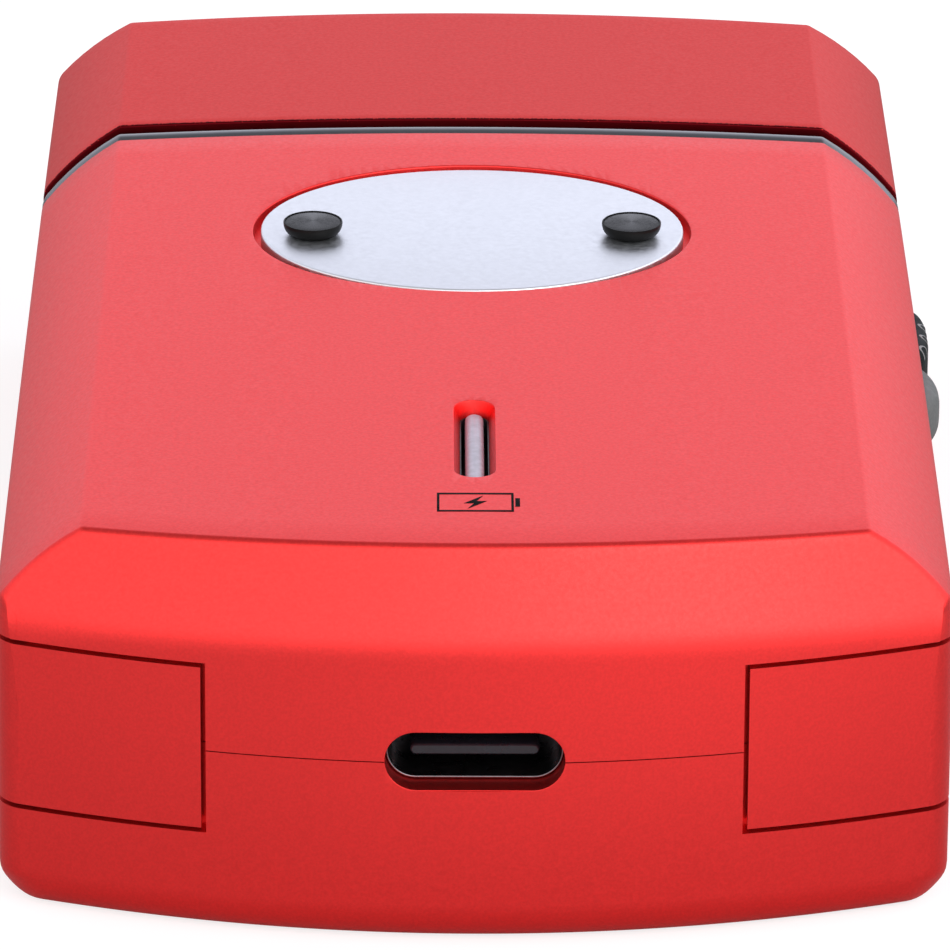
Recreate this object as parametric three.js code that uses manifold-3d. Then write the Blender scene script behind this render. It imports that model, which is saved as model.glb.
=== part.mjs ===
// A compact electric foil shaver lying on its back with its cap on. Millimetres, +Z up.
// +X is the side with the controls, +Y runs from the charging socket to the cap, z = 0 is the back face.
import * as THREE from "three";
import { mergeVertices } from "three/addons/utils/BufferGeometryUtils.js";
import Module from "manifold-3d";

const wasm = await Module();
wasm.setup();

// ---------- driving dimensions ----------

const BODY = {
  halfWidth: 26.25,
  depth: 22.8, // at the crown of the front face
  crown: 0.55, // rise of the front face between its bevel edges
  edgeX: 21.5, // where the front face meets the bevels
  bevelDrop: 4.3,
  bevelBow: 0.28, // how far the bevels bulge
  wall: 1.8,
  parting: 10.9, // height of the line between the front and back shells
  backRound: 2.2, // rounding of the back edges
  cornerRound: 1.1, // plan rounding between the ends and the sides
  mouth: 21.7, // where the shells stop and the trim ring starts
};
const NEAR_END = { tip: -46.5, bow: 65, lean: 0.452, leanFrom: 17.65 };
const FAR_END = { tip: 46.5, bow: 480, lean: 0.463, leanFrom: 18 };

const CROWN_RADIUS = BODY.edgeX ** 2 / (2 * BODY.crown);

const TRIM = { end: 23.3, inset: 0.1, bore: 2.2 };
const GASKET = { end: 24, inset: 0.9 };
const CAP = { start: 24.15, wall: 1.3 };
const LINER = { start: 24.9, end: 30.2, outer: 1.4, inner: 2.1 };
const NECK = { start: 19.2, step: 21.5, deck: 29.3, top: 30.5, flange: 1.9, inset: 2.5, bore: 3.7 };

const BADGE = { y: 5.1, rx: 12.5, ry: 10.25, bottom: 21.85, top: 22.7, groove: 0.45 };
const BADGE_SCREW = { x: 9.4, y: 4.05, head: 1.75, foot: 1.4, height: 0.85, shank: 0.8, end: 20.3 };
const SLOT = { y: -28.65, length: 11.5, width: 2.2, ledge: 21.75, slitLength: 11.2, slitWidth: 1.65 };
const PIPE = {
  length: 10.9,
  width: 1.05,
  top: 22.2,
  flangeLength: 12,
  flangeWidth: 3,
  flangeTop: 20.7,
  flange: 19.4,
  leg: 1,
  foot: 10.4,
};
const COVER = { edge: 14.9, end: -30, bottom: 6.3, top: 15.8, thickness: 0.9, gap: 0.2 };
const SOCKET = { length: 9.8, height: 3.4, z: 11 };
const RECEPTACLE = { width: 8.94, height: 3.26, skin: 0.3, mouth: -44.9, back: -37.3 };
const TONGUE = { halfWidth: 3.35, halfHeight: 0.35, recess: 0.3 };
const SHELL_SCREW = { x: 17.6, zs: [13.9, 7.9], seat: -41.5, head: 1.5, headHeight: 0.9 };
const SHELL_SCREW_SHANK = { radius: 0.75, end: -33 };

const SLIDER = { y: 6.3, z: 14.3, length: 8.6, height: 3.4, proud: 1, travel: 3, ribPitch: 1.65 };
const BUTTON = { y: -2.4, z: 14.3, length: 7.4, height: 3.4, proud: 1.2 };

const BOARD = {
  bottom: 8.1,
  top: 9.3,
  tongueHalfWidth: 14, // between the screw bosses
  tongueStart: -43,
  shoulder: -29,
  halfWidth: 23,
  motorEdge: 12, // the arm passes beside the motor
  innerEnd: -9,
  end: 17,
};
const CELL = { halfWidth: 14, start: -39, end: -9, round: 1.5, pad: 0.4 };
const TRAY = { bottom: 7, halfWidth: 22 };
const MOTOR = { start: -8, end: 17.5, z: 11.5, halfWidth: 10.1, halfDepth: 7.6 };
const CRANK = { throw: 1.25, pin: 0.75, hub: 2.8, start: 21, face: 24.5, end: 27.5 };
const BRIDGE = { start: 25, top: 28.6, halfLength: 13, halfDepth: 5.2, window: 3.5, postTop: 34.2 };
const CUTTER = { centre: 38, radius: 4.6, blades: 16, pitch: 2, thickness: 0.6 };
const FOIL = { radius: 5.2, skin: 0.3, halfLength: 17.5, foot: 34.8 };
const CASSETTE = { start: 31.6, end: 37.2, halfLength: 22.8, halfDepth: 7.4, springX: 20.6 };

// ---------- shapes and solids ----------

// A closed geometry as a solid that can be joined and cut.
function solid(geometry) {
  const bare = geometry.index ? geometry.toNonIndexed() : geometry.clone();
  bare.deleteAttribute("normal");
  bare.deleteAttribute("uv");
  const merged = mergeVertices(bare, 1e-4);
  return new wasm.Manifold(
    new wasm.Mesh({
      numProp: 3,
      vertProperties: merged.attributes.position.array,
      triVerts: new Uint32Array(merged.index.array),
    }),
  );
}

function geometryOf(body) {
  const made = body.getMesh();
  const geometry = new THREE.BufferGeometry();
  geometry.setAttribute("position", new THREE.BufferAttribute(made.vertProperties, 3));
  geometry.setIndex(new THREE.BufferAttribute(made.triVerts, 1));
  geometry.computeVertexNormals();
  return geometry;
}

// Extrudes a shape drawn in (x, y), (x, z) or (y, z) along the axis that is left.
function extrude(axis, shape, from, to, curveSegments = 4) {
  const geometry = new THREE.ExtrudeGeometry(shape, {
    depth: to - from,
    bevelEnabled: false,
    curveSegments,
  });
  if (axis === "z") geometry.translate(0, 0, from);
  if (axis === "y") geometry.rotateX(Math.PI / 2).translate(0, to, 0);
  if (axis === "x") {
    const turn = new THREE.Matrix4().makeBasis(
      new THREE.Vector3(0, 1, 0),
      new THREE.Vector3(0, 0, 1),
      new THREE.Vector3(1, 0, 0),
    );
    geometry.applyMatrix4(turn).translate(from, 0, 0);
  }
  return solid(geometry);
}

function box(x0, x1, y0, y1, z0, z1) {
  const geometry = new THREE.BoxGeometry(x1 - x0, y1 - y0, z1 - z0);
  return solid(geometry.translate((x0 + x1) / 2, (y0 + y1) / 2, (z0 + z1) / 2));
}

// A round solid about an axis through (a, b) of the other two coordinates; profile holds [radius, height].
function turned(axis, profile, a, b, segments = 24) {
  const points = profile.map(([r, h]) => new THREE.Vector2(r, h));
  const geometry = new THREE.LatheGeometry(points, segments);
  if (axis === "z") geometry.rotateX(Math.PI / 2).translate(a, b, 0);
  if (axis === "y") geometry.translate(a, 0, b);
  if (axis === "x") geometry.rotateZ(-Math.PI / 2).translate(0, a, b);
  return solid(geometry);
}

function rod(axis, radius, from, to, a, b, segments = 16) {
  const profile = [
    [0, from],
    [radius, from],
    [radius, to],
    [0, to],
  ];
  return turned(axis, profile, a, b, segments);
}

function obround(length, height, cx, cy) {
  const r = height / 2;
  const half = length / 2 - r;
  const shape = new THREE.Shape();
  shape.absarc(cx + half, cy, r, -Math.PI / 2, Math.PI / 2, false);
  shape.absarc(cx - half, cy, r, Math.PI / 2, (3 * Math.PI) / 2, false);
  return shape;
}

function roundedRectangle(x0, x1, y0, y1, r) {
  const shape = new THREE.Shape();
  shape.absarc(x1 - r, y0 + r, r, -Math.PI / 2, 0, false);
  shape.absarc(x1 - r, y1 - r, r, 0, Math.PI / 2, false);
  shape.absarc(x0 + r, y1 - r, r, Math.PI / 2, Math.PI, false);
  shape.absarc(x0 + r, y0 + r, r, Math.PI, (3 * Math.PI) / 2, false);
  return shape;
}

function all(first, ...rest) {
  return rest.reduce((sum, piece) => sum.add(piece), first);
}

function cut(body, ...tools) {
  return tools.reduce((left, tool) => left.subtract(tool), body);
}

// ---------- the outer form, which the shells, trim ring, neck and cap share ----------

// A corner between two flats with the given outward normals, after both have moved inwards.
function insetCorner(x, z, [ax, az], [bx, bz], inset) {
  const k = inset / (1 + ax * bx + az * bz);
  return [x - k * (ax + bx), z - k * (az + bz)];
}

// The section across the shaver: flat back, upright sides, bowed bevels and a crowned front.
function section(inset) {
  const half = BODY.halfWidth - inset;
  const frontZ = BODY.depth - BODY.crown;
  const run = BODY.halfWidth - BODY.edgeX;
  const length = Math.hypot(run, BODY.bevelDrop);
  const slope = [BODY.bevelDrop / length, run / length];
  const [edgeX, edgeZ] = insetCorner(BODY.edgeX, frontZ, slope, [0, 1], inset);
  const bevelLow = insetCorner(BODY.halfWidth, frontZ - BODY.bevelDrop, [1, 0], slope, inset)[1];
  const bulgeX = (half + edgeX) / 2 + 2 * BODY.bevelBow * slope[0];
  const bulgeZ = (bevelLow + edgeZ) / 2 + 2 * BODY.bevelBow * slope[1];
  const crown = BODY.crown * (edgeX / BODY.edgeX) ** 2;
  const r = Math.max(BODY.backRound - inset, 0.3);
  const shape = new THREE.Shape();
  shape.absarc(half - r, inset + r, r, -Math.PI / 2, 0, false);
  shape.lineTo(half, bevelLow);
  shape.quadraticCurveTo(bulgeX, bulgeZ, edgeX, edgeZ);
  shape.quadraticCurveTo(0, edgeZ + 2 * crown, -edgeX, edgeZ);
  shape.quadraticCurveTo(-bulgeX, bulgeZ, -half, bevelLow);
  shape.lineTo(-half, inset + r);
  shape.absarc(-half + r, inset + r, r, Math.PI, (3 * Math.PI) / 2, false);
  return shape;
}

// Everything on the inner side of a bowed end wall that leans by `lean` per millimetre from a height.
function insideOfWall(end, inset, lean, leanFrom, bow = end.bow) {
  const inward = -Math.sign(end.tip);
  const reach = 30;
  const far = 100;
  const radius = bow - inset;
  const tip = end.tip + inward * inset * Math.hypot(1, lean);
  const spread = Math.asin(reach / radius);
  const middle = (-inward * Math.PI) / 2;
  const shape = new THREE.Shape();
  shape.absarc(0, tip + inward * radius, radius, middle - spread, middle + spread, false);
  shape.lineTo(inward * reach, inward * far);
  shape.lineTo(-inward * reach, inward * far);
  const wall = new THREE.ExtrudeGeometry(shape, { depth: 40, bevelEnabled: false, curveSegments: 6 });
  wall.translate(0, 0, -10 - leanFrom);
  const shear = new THREE.Matrix4().makeShear(0, 0, 0, 0, 0, inward * lean);
  return solid(wall.applyMatrix4(shear).translate(0, 0, leanFrom));
}

// The chamfer's lower edge follows the crown of the front face, so its own bow is a little tighter.
function endWalls(end, inset) {
  const chamferBow = 1 / (1 / end.bow + end.lean / CROWN_RADIUS);
  const r = BODY.backRound - 0.4 * inset;
  const steps = [Math.PI / 6, Math.PI / 3];
  return [
    insideOfWall(end, inset, 0, 0),
    insideOfWall(end, inset, end.lean, end.leanFrom - 0.2 * inset, chamferBow),
    ...steps.map((a) => insideOfWall(end, inset, -Math.tan(a), inset + r * (1 - Math.tan(a / 2)))),
  ];
}

// Rounds the four upright corners between the ends and the sides.
function plan(inset) {
  const half = BODY.halfWidth - inset;
  const r = BODY.cornerRound;
  const corner = (end) => {
    const inward = -Math.sign(end.tip);
    return end.tip + inward * (inset + half ** 2 / (2 * end.bow));
  };
  const near = corner(NEAR_END);
  const far = corner(FAR_END);
  const shape = new THREE.Shape();
  shape.moveTo(0, NEAR_END.tip - 5);
  shape.lineTo(half - 3 * r, NEAR_END.tip - 5);
  shape.lineTo(half - r, near - r * 0.4);
  shape.quadraticCurveTo(half, near, half, near + r);
  shape.lineTo(half, far - r);
  shape.quadraticCurveTo(half, far, half - r, far + r * 0.05);
  shape.lineTo(half - r, FAR_END.tip + 5);
  shape.lineTo(-half + r, FAR_END.tip + 5);
  shape.lineTo(-half + r, far + r * 0.05);
  shape.quadraticCurveTo(-half, far, -half, far - r);
  shape.lineTo(-half, near + r);
  shape.quadraticCurveTo(-half, near, -half + r, near - r * 0.4);
  shape.lineTo(-half + 3 * r, NEAR_END.tip - 5);
  return extrude("z", shape, -1, BODY.depth + 1, 3);
}

const SECTION_STEPS = 4;

// The outer form moved inwards by `inset`, between two stations along Y.
function form(inset, from, to) {
  let body = extrude("y", section(inset), Math.max(from, -60), Math.min(to, 60), SECTION_STEPS);
  const ends = [];
  if (from < -30) ends.push(...endWalls(NEAR_END, inset));
  if (to > 30) ends.push(...endWalls(FAR_END, inset));
  if (ends.length) ends.push(plan(inset));
  for (const end of ends) body = body.intersect(end);
  return body;
}

const NEAR = -100; // beyond the near end
const FAR = 100; // beyond the far end

// ---------- shells ----------

function coverPocket(side, gap) {
  const edge = COVER.edge - gap;
  const region = box(edge, 60, NEAR, COVER.end + gap, COVER.bottom - gap, COVER.top + gap);
  const pocket = cut(form(0, NEAR, 0), form(COVER.thickness + gap / 2, NEAR, 0)).intersect(region);
  return side > 0 ? pocket : pocket.mirror([1, 0, 0]);
}

function screwBoss(x, z) {
  return rod("y", 2.7, -45, -37, x, z, 12).intersect(form(1, NEAR, 0));
}

function screwHole(x, z) {
  return all(
    rod("y", SHELL_SCREW.head + 0.2, NEAR, SHELL_SCREW.seat, x, z, 12),
    rod("y", SHELL_SCREW_SHANK.radius + 0.1, SHELL_SCREW.seat - 1, -30, x, z, 12),
  );
}

function socketHole() {
  return extrude("y", obround(SOCKET.length, SOCKET.height, 0, SOCKET.z), NEAR, -40, 6);
}

function shellBlank() {
  return cut(form(0, NEAR, BODY.mouth), form(BODY.wall, NEAR, BODY.mouth + 5));
}

function withScrewsAndCovers(shell, screwZ) {
  let body = shell;
  for (const side of [-1, 1]) body = body.add(screwBoss(side * SHELL_SCREW.x, screwZ));
  body = cut(body, socketHole(), coverPocket(-1, COVER.gap), coverPocket(1, COVER.gap));
  for (const side of [-1, 1]) body = cut(body, screwHole(side * SHELL_SCREW.x, screwZ));
  return body;
}

function badgeRecess() {
  const shape = new THREE.Shape();
  const rx = BADGE.rx + BADGE.groove;
  const ry = BADGE.ry + BADGE.groove;
  shape.absellipse(0, BADGE.y, rx, ry, 0, 2 * Math.PI, false);
  return extrude("z", shape, BADGE.bottom, 30, 20);
}

function frontShell() {
  const upper = shellBlank().intersect(box(-40, 40, -60, 60, BODY.parting, 40));
  const stemEnd = SLIDER.y + SLIDER.travel + 1.1;
  const stemWindow = box(20, 30, SLIDER.y - 1.2, stemEnd, SLIDER.z - 0.9, SLIDER.z + 0.9);
  const buttonHole = obround(BUTTON.length + 0.4, BUTTON.height + 0.4, BUTTON.y, BUTTON.z);
  const slot = obround(SLOT.length, SLOT.width, SLOT.y, 0);
  const slit = obround(SLOT.slitLength, SLOT.slitWidth, SLOT.y, 0);
  const turn = (body) => body.rotate([0, 0, 90]);
  let body = withScrewsAndCovers(upper, SHELL_SCREW.zs[0]);
  body = cut(body, badgeRecess(), stemWindow, extrude("x", buttonHole, 20, 30));
  body = cut(body, turn(extrude("z", slot, SLOT.ledge, 30)), turn(extrude("z", slit, 15, 30)));
  for (const side of [-1, 1]) {
    const r = BADGE_SCREW.shank + 0.1;
    body = cut(body, rod("z", r, 15, 30, side * BADGE_SCREW.x, BADGE_SCREW.y, 12));
  }
  return body;
}

function backShell() {
  const lower = shellBlank().intersect(box(-40, 40, -60, 60, -5, BODY.parting));
  return withScrewsAndCovers(lower, SHELL_SCREW.zs[1]);
}

// ---------- outside fittings ----------

function badgePlate() {
  const shape = new THREE.Shape();
  shape.absellipse(0, BADGE.y, BADGE.rx, BADGE.ry, 0, 2 * Math.PI, false);
  let plate = extrude("z", shape, BADGE.bottom, BADGE.top, 20);
  for (const side of [-1, 1]) {
    const r = BADGE_SCREW.shank + 0.1;
    plate = cut(plate, rod("z", r, 15, 30, side * BADGE_SCREW.x, BADGE_SCREW.y, 12));
  }
  return plate;
}

// A round head that narrows towards the plate, on a plain shank.
function badgeScrew(side) {
  const top = BADGE.top + BADGE_SCREW.height;
  const profile = [
    [0, BADGE_SCREW.end],
    [BADGE_SCREW.shank, BADGE_SCREW.end],
    [BADGE_SCREW.shank, BADGE.top],
    [BADGE_SCREW.foot, BADGE.top],
    [BADGE_SCREW.head, top - 0.25],
    [BADGE_SCREW.head - 0.1, top],
    [0, top],
  ];
  return turned("z", profile, side * BADGE_SCREW.x, BADGE_SCREW.y, 20);
}

function shellScrew(side, z) {
  const profile = [
    [0, SHELL_SCREW.seat - SHELL_SCREW.headHeight],
    [SHELL_SCREW.head, SHELL_SCREW.seat - SHELL_SCREW.headHeight],
    [SHELL_SCREW.head, SHELL_SCREW.seat],
    [SHELL_SCREW_SHANK.radius, SHELL_SCREW.seat],
    [SHELL_SCREW_SHANK.radius, SHELL_SCREW_SHANK.end],
    [0, SHELL_SCREW_SHANK.end],
  ];
  return turned("y", profile, side * SHELL_SCREW.x, z, 12);
}

// The slot runs along Y, so its obrounds are drawn lying down and turned a quarter.
function lightPipe() {
  const turn = (body) => body.rotate([0, 0, 90]);
  const bar = turn(extrude("z", obround(PIPE.length, PIPE.width, SLOT.y, 0), PIPE.flange, PIPE.top));
  const outline = obround(PIPE.flangeLength, PIPE.flangeWidth, SLOT.y, 0);
  const flange = turn(extrude("z", outline, PIPE.flange, PIPE.flangeTop));
  return all(bar, flange, rod("z", PIPE.leg, PIPE.foot, PIPE.flange + 0.2, 0, SLOT.y, 12));
}

function trimRing() {
  const outer = form(TRIM.inset, BODY.mouth, TRIM.end);
  return cut(outer, form(TRIM.bore, 0, TRIM.end + 1));
}

function neckGasket() {
  return cut(form(GASKET.inset, TRIM.end, GASKET.end), form(TRIM.bore, 0, GASKET.end + 1));
}

function capShell() {
  return cut(form(0, CAP.start, FAR), form(CAP.wall, 0, FAR));
}

function capLiner() {
  return cut(form(LINER.outer, LINER.start, LINER.end), form(LINER.inner, 0, FAR));
}

// ---------- side controls ----------

// A rounded pad with three cross ribs, and a stem through the wall.
function sliderGrip() {
  const foot = BODY.halfWidth + 0.05;
  const tip = BODY.halfWidth + SLIDER.proud;
  const outline = (shrink) => {
    return obround(SLIDER.length - shrink, SLIDER.height - shrink, SLIDER.y, SLIDER.z);
  };
  const pad = extrude("x", outline(0), foot, tip - 0.6).add(extrude("x", outline(0.9), foot, tip - 0.25));
  const ribs = [-1, 0, 1].map((step) => {
    const y = SLIDER.y + step * SLIDER.ribPitch;
    return rod("z", 0.5, SLIDER.z - 1.1, SLIDER.z + 1.1, tip - 0.5, y, 12);
  });
  const stem = box(24, foot + 0.2, SLIDER.y - 0.9, SLIDER.y + 0.9, SLIDER.z - 0.6, SLIDER.z + 0.6);
  return all(pad, stem, ...ribs);
}

function sliderCarrier() {
  const plate = box(23.1, 24, SLIDER.y - 2.2, SLIDER.y + 2.2, SLIDER.z - 1.8, SLIDER.z + 1.8);
  return plate.add(box(21.4, 23.3, SLIDER.y - 0.8, SLIDER.y + 0.8, SLIDER.z - 0.6, SLIDER.z + 0.6));
}

// A low dome on an obround shank, with a flange behind the wall.
function lockButton() {
  const inner = BODY.halfWidth - BODY.wall;
  const tip = BODY.halfWidth + BUTTON.proud;
  const outline = (grow) => obround(BUTTON.length + grow, BUTTON.height + grow, BUTTON.y, BUTTON.z);
  const dome = extrude("x", outline(-1.2), tip - 0.6, tip);
  const shank = extrude("x", outline(0), inner - 0.8, tip - 0.5);
  const flange = extrude("x", outline(1.4), inner - 1.3, inner - 0.2);
  return all(dome, shank, flange, rod("x", 1, 21.8, 23.2, BUTTON.y, BUTTON.z, 12));
}

class Helix extends THREE.Curve {
  constructor(radius, length, turns) {
    super();
    Object.assign(this, { radius, length, turns });
  }
  getPoint(t) {
    const a = 2 * Math.PI * this.turns * t;
    return new THREE.Vector3(this.radius * Math.cos(a), this.length * t, this.radius * Math.sin(a));
  }
}

// A coil along +Y from the origin.
function coil(radius, wire, length, turns) {
  const ring = new THREE.Shape();
  ring.absarc(0, 0, wire / 2, 0, 2 * Math.PI, false);
  return new THREE.ExtrudeGeometry(ring, {
    steps: turns * 9,
    curveSegments: 3,
    extrudePath: new Helix(radius, length - wire, turns),
  }).translate(0, wire / 2, 0);
}

function foilSpring(side) {
  const length = 34.6 - NECK.top;
  return solid(coil(1, 0.4, length, 4).translate(side * CASSETTE.springX, NECK.top, MOTOR.z));
}

function buttonSpring() {
  const geometry = coil(1.6, 0.4, 1.9, 3).rotateZ(-Math.PI / 2);
  return solid(geometry.translate(20.9, BUTTON.y, BUTTON.z));
}

// ---------- inside the body ----------

function neckCollar() {
  const outer = all(form(NECK.flange, NECK.start, NECK.step), form(NECK.inset, NECK.step, NECK.top));
  const bore = form(NECK.bore, 0, NECK.deck);
  const postWindow = roundedRectangle(-5.5, 5.5, MOTOR.z - 3.2, MOTOR.z + 3.2, 1);
  return cut(outer, bore, extrude("y", postWindow, 25, 35, 3));
}

function motorBracket() {
  const plate = roundedRectangle(-20, 20, 4.2, 18.8, 2);
  const body = extrude("y", plate, MOTOR.end, MOTOR.end + 1.4, 3);
  return cut(body, rod("y", 3.4, 0, 30, 0, MOTOR.z, 16));
}

function innerFrame() {
  const { bottom, halfWidth } = TRAY;
  const tray = box(-halfWidth, halfWidth, -37, 17.3, bottom, BOARD.bottom);
  const motorBay = box(-MOTOR.halfWidth - 0.4, MOTOR.halfWidth + 0.4, MOTOR.start - 0.4, 30, 0, 20);
  let body = cut(tray, motorBay);
  for (const side of [-1, 1]) {
    const x = side * SHELL_SCREW.x;
    body = body.add(box(x - 2.8, x + 2.8, -36.8, -31, 5, 16.4));
    for (const z of SHELL_SCREW.zs) {
      body = cut(body, rod("y", SHELL_SCREW_SHANK.radius + 0.1, -40, -20, x, z, 12));
    }
  }
  return body;
}

// A tongue between the screw bosses carries the socket, and an arm beside the motor the switches.
function circuitBoard() {
  const { tongueHalfWidth, tongueStart, shoulder, halfWidth, motorEdge, innerEnd, end } = BOARD;
  const shape = new THREE.Shape();
  shape.moveTo(-tongueHalfWidth, tongueStart);
  shape.lineTo(tongueHalfWidth, tongueStart);
  shape.lineTo(tongueHalfWidth, shoulder - 1);
  shape.lineTo(halfWidth, shoulder + 1);
  shape.lineTo(halfWidth, end);
  shape.lineTo(motorEdge, end);
  shape.lineTo(motorEdge, innerEnd);
  shape.lineTo(-tongueHalfWidth, innerEnd);
  return extrude("z", shape, BOARD.bottom, BOARD.top);
}

function batteryCell() {
  const { halfWidth, start, end, round, pad } = CELL;
  const outline = roundedRectangle(-halfWidth, halfWidth, BODY.wall + pad, TRAY.bottom, round);
  return extrude("y", outline, start, end, 3);
}

// Foam between the cell and the back shell.
function batteryPad() {
  const half = CELL.halfWidth - 2;
  return box(-half, half, CELL.start + 2, CELL.end - 2, BODY.wall, BODY.wall + CELL.pad);
}

function usbShell() {
  const { width, height, skin, mouth, back } = RECEPTACLE;
  const outer = extrude("y", obround(width, height, 0, SOCKET.z), mouth, back);
  const inner = obround(width - 2 * skin, height - 2 * skin, 0, SOCKET.z);
  const feet = box(-4, 4, mouth + 2, back, BOARD.top, SOCKET.z - height / 2 + 0.2);
  return cut(outer.add(feet), extrude("y", inner, mouth - 1, back - 0.6));
}

function usbTongue() {
  const { halfWidth, halfHeight, recess } = TONGUE;
  const { mouth, back } = RECEPTACLE;
  return box(-halfWidth, halfWidth, mouth + recess, back - 0.6, SOCKET.z - halfHeight, SOCKET.z + halfHeight);
}

function slideSwitch() {
  const body = box(18.5, 22.6, SLIDER.y - 3.5, SLIDER.y + 6, BOARD.top, 16.6);
  return cut(body, box(21, 30, SLIDER.y - 1.2, SLIDER.y + 4.2, SLIDER.z - 1, SLIDER.z + 1));
}

function tactSwitch() {
  const body = box(17.4, 20.4, BUTTON.y - 3, BUTTON.y + 3, BOARD.top, 16.9);
  return body.add(rod("x", 0.9, 20.2, 20.9, BUTTON.y, BUTTON.z, 12));
}

function motorCan() {
  const { halfWidth, halfDepth, z, start, end } = MOTOR;
  const ring = roundedRectangle(-halfWidth, halfWidth, z - halfDepth, z + halfDepth, halfDepth - 0.4);
  const can = extrude("y", ring, start, end);
  const boss = rod("y", 3.1, end - 0.5, end + 1.2, 0, z, 16);
  return cut(can.add(boss), rod("y", 1.1, 0, end + 5, 0, z, 12));
}

// ---------- drive and shaving head ----------

function motorShaft() {
  const { end, z } = MOTOR;
  const shaft = rod("y", 1, 2, CRANK.start + 0.5, 0, z, 12);
  const hub = rod("y", CRANK.hub, CRANK.start, CRANK.face, 0, z, 20);
  const pin = rod("y", CRANK.pin, CRANK.face - 0.5, CRANK.end, CRANK.throw, z, 12);
  const collar = rod("y", 1.8, end + 1.5, end + 2.4, 0, z, 12);
  return all(shaft, collar, hub, pin);
}

function bridge() {
  const { start, top, halfLength, halfDepth, window, postTop } = BRIDGE;
  const z = MOTOR.z;
  const outline = roundedRectangle(-halfLength, halfLength, z - halfDepth, z + halfDepth, 1.5);
  const plate = extrude("y", outline, start, top, 3);
  const pocket = box(-window, window, start - 1, top - 0.7, z - window, z + window);
  return cut(plate, pocket).add(box(-3, 3, top - 0.5, postTop, z - 2, z + 2));
}

// Half-round blades in a row on a carrier bar, whose socket slides on the bridge's post.
function cutterBlock() {
  const { centre, radius, blades, pitch, thickness } = CUTTER;
  const z = MOTOR.z;
  let body = box(-16, 16, 35.9, centre + 0.6, z - 2.4, z + 2.4);
  body = body.add(box(-4.5, 4.5, 31.9, 36.5, z - 3.4, z + 3.4));
  body = cut(body, box(-3.3, 3.3, 30, 35.6, z - 2.3, z + 2.3));
  const half = new THREE.Shape();
  half.moveTo(centre - 0.8, z + radius);
  half.lineTo(centre - 0.8, z - radius);
  half.absarc(centre, z, radius, -Math.PI / 2, Math.PI / 2, false);
  for (let i = 0; i < blades; i += 1) {
    const x = (i - (blades - 1) / 2) * pitch;
    body = body.add(extrude("x", half, x - thickness / 2, x + thickness / 2, 5));
  }
  return body;
}

function arch(radius, foot) {
  const shape = new THREE.Shape();
  shape.moveTo(foot, MOTOR.z - radius);
  shape.lineTo(CUTTER.centre, MOTOR.z - radius);
  shape.absarc(CUTTER.centre, MOTOR.z, radius, -Math.PI / 2, Math.PI / 2, false);
  shape.lineTo(foot, MOTOR.z + radius);
  return shape;
}

function foilSheet() {
  const { radius, skin, halfLength, foot } = FOIL;
  const outer = extrude("x", arch(radius, foot), -halfLength, halfLength, 8);
  return cut(outer, extrude("x", arch(radius - skin, foot - 1), -30, 30, 8));
}

// The frame holds the foil between two arched end cheeks and floats on a pair of springs.
function foilFrame() {
  const { start, end, halfLength, halfDepth, springX } = CASSETTE;
  const z = MOTOR.z;
  const ring = roundedRectangle(-halfLength, halfLength, z - halfDepth, z + halfDepth, 2.5);
  let body = extrude("y", ring, start, end, 3);
  const window = FOIL.radius + 0.4;
  body = cut(body, box(-18.2, 18.2, start - 1, end + 1, z - window, z + window));
  for (const side of [-1, 1]) {
    const cheek = extrude("x", arch(FOIL.radius + 0.1, end - 1), 18.2, 20, 8);
    body = body.add(side > 0 ? cheek : cheek.mirror([1, 0, 0]));
    body = cut(body, rod("y", 1.5, start - 1, 34.9, side * springX, z, 12));
  }
  return body;
}

// ---------- the assembly ----------

const RED = { color: 0xc2353b, roughness: 0.42, metalness: 0.55 };
const SILVER = { color: 0xc9cbd2, roughness: 0.25, metalness: 0.9 };
const BADGE_METAL = { color: 0xdee2f5, roughness: 0.12, metalness: 0.8 };
const STEEL = { color: 0x8e9197, roughness: 0.3, metalness: 0.9 };
const DARK_STEEL = { color: 0x3a3b40, roughness: 0.25, metalness: 0.9 };
const BLACK = { color: 0x17171a, roughness: 0.5, metalness: 0 };
const GREY = { color: 0x6f7278, roughness: 0.45, metalness: 0 };
const RUBBER = { color: 0x101012, roughness: 0.85, metalness: 0 };
const CLEAR = { color: 0xe6ecf8, roughness: 0.2, metalness: 0 };
const BOARD_GREEN = { color: 0x1f5a3c, roughness: 0.55, metalness: 0 };
const CELL_WRAP = { color: 0x9aa3ad, roughness: 0.4, metalness: 0.4 };
const WHITE = { color: 0xdedede, roughness: 0.5, metalness: 0 };

const shaver = new THREE.Group();

function put(name, body, look) {
  const mesh = new THREE.Mesh(geometryOf(body), new THREE.MeshStandardMaterial(look));
  mesh.name = name;
  shaver.add(mesh);
}

const SIDES = [
  [-1, "left"],
  [1, "right"],
];

put("front_shell", frontShell(), RED);
put("back_shell", backShell(), RED);
put("trim_ring", trimRing(), SILVER);
put("neck_gasket", neckGasket(), RUBBER);
put("cap_shell", capShell(), RED);
put("cap_liner", capLiner(), BLACK);
put("badge_plate", badgePlate(), BADGE_METAL);
for (const [side, word] of SIDES) {
  put(`badge_screw_${word}`, badgeScrew(side), DARK_STEEL);
  put(`corner_cover_${word}`, coverPocket(side, 0), RED);
  put(`front_shell_screw_${word}`, shellScrew(side, SHELL_SCREW.zs[0]), STEEL);
  put(`back_shell_screw_${word}`, shellScrew(side, SHELL_SCREW.zs[1]), STEEL);
  put(`foil_spring_${word}`, foilSpring(side), STEEL);
}
put("light_pipe", lightPipe(), CLEAR);
put("slider_grip", sliderGrip(), BLACK);
put("slider_carrier", sliderCarrier(), BLACK);
put("lock_button", lockButton(), GREY);
put("button_spring", buttonSpring(), STEEL);
put("neck_collar", neckCollar(), BLACK);
put("motor_bracket", motorBracket(), BLACK);
put("inner_frame", innerFrame(), WHITE);
put("circuit_board", circuitBoard(), BOARD_GREEN);
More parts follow.
